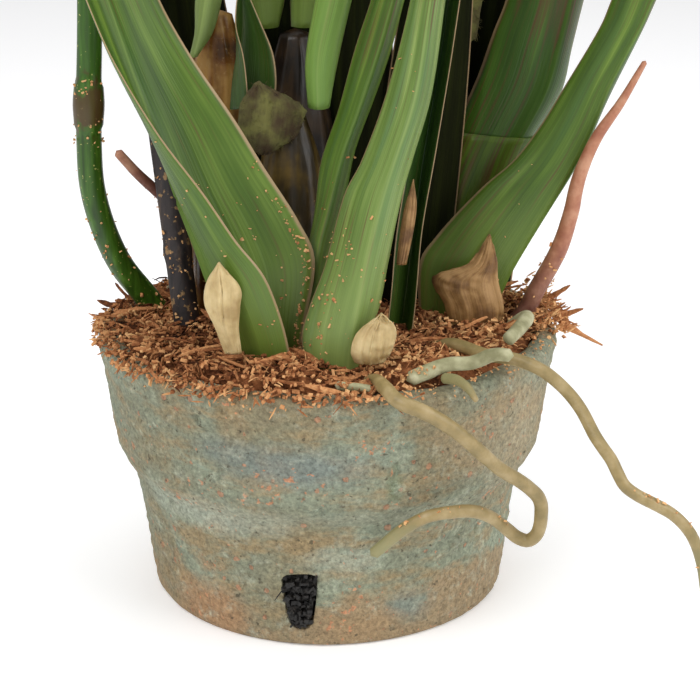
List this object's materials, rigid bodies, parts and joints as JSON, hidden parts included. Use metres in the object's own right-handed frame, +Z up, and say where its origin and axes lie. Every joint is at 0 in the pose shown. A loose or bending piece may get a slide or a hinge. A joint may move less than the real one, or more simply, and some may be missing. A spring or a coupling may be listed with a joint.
{
  "type": "potted cymbidium orchid",
  "caption": "Cymbidium orchid in a patinated terracotta pot: pseudobulbs, arching strap leaves, coir bed, aerial roots and a flower spike tied to a cane.",
  "frame": {"origin": "centre of the pot's underside, where it rests", "axes": "+Z up, -Y towards the front of the plant, +X to the right as seen from the front"},
  "size_m": [0.4888, 0.3218, 0.5625],
  "materials": {
    "terracotta": "unglazed, green-grey patina rubbed over tan clay, pitted, lime crust",
    "medium": "black bark and soil, damp, rough",
    "coir": "shredded coconut husk, dry, fibrous",
    "bulb": "glossy olive-brown skin with lengthwise ribs",
    "leaf": "satin, fine lengthwise veins, thin tan margins, brown streaks",
    "leaf_shaded": "satin dark green, fine lengthwise veins",
    "stem": "smooth satin green with a brown sheathed node",
    "cane": "near-black bark with tan flecks",
    "raffia": "dry split palm fibre",
    "root": "khaki, semi-matt, slightly lumpy",
    "root_pale": "spongy pale grey-green, matt",
    "root_pink": "pink-brown, semi-matt, darker at the base",
    "papery": "dry cream bract, thin and slightly translucent",
    "fibrous": "felted olive to purple-brown sheath remnant",
    "petal": "pale waxy green-white, burgundy marks on the lip",
    "bud": "waxy pale green"
  },
  "bodies": {
    "root": {"pot": "terracotta", "growing_medium": "medium", "coir_bed": "coir", "pseudobulb_front": "bulb", "pseudobulb_middle": "bulb", "pseudobulb_left": "bulb", "pseudobulb_right": "bulb", "pseudobulb_rear": "bulb", "leaf_front_left": "leaf", "leaf_inner": "leaf", "leaf_front": "leaf", "leaf_right": "leaf", "leaf_cut": "leaf", "leaf_left_inner": "leaf", "leaf_torn": "leaf", "leaf_right_rear": "leaf_shaded", "leaf_dark": "leaf_shaded", "leaf_left_rear": "leaf_shaded", "leaf_middle_left": "leaf_shaded", "leaf_middle_right": "leaf_shaded", "leaf_back_1": "leaf_shaded", "leaf_back_2": "leaf_shaded", "leaf_back_3": "leaf_shaded", "leaf_back_4": "leaf_shaded", "leaf_back_5": "leaf_shaded", "bract_left": "papery", "bract_front": "papery", "sheath_right": "papery", "sheath_strip": "papery", "fibrous_sheath": "fibrous", "fibrous_collar": "fibrous", "flower_spike": "stem", "support_cane": "cane", "tie_lower": "raffia", "tie_upper": "raffia", "root_hanging": "root", "root_looping": "root", "root_stub": "root", "root_pink": "root_pink", "root_tip_left": "root_pink", "root_pale_thick": "root_pale", "root_pale_small": "root_pale", "root_pale_right": "root_pale", "flower_1": "petal", "flower_2": "petal", "flower_3": "petal", "flower_4": "petal", "flower_5": "petal", "flower_6": "petal", "flower_7": "petal", "flower_8": "petal", "bud_1": "bud", "bud_2": "bud", "bud_3": "bud"}
  },
  "joints": []
}
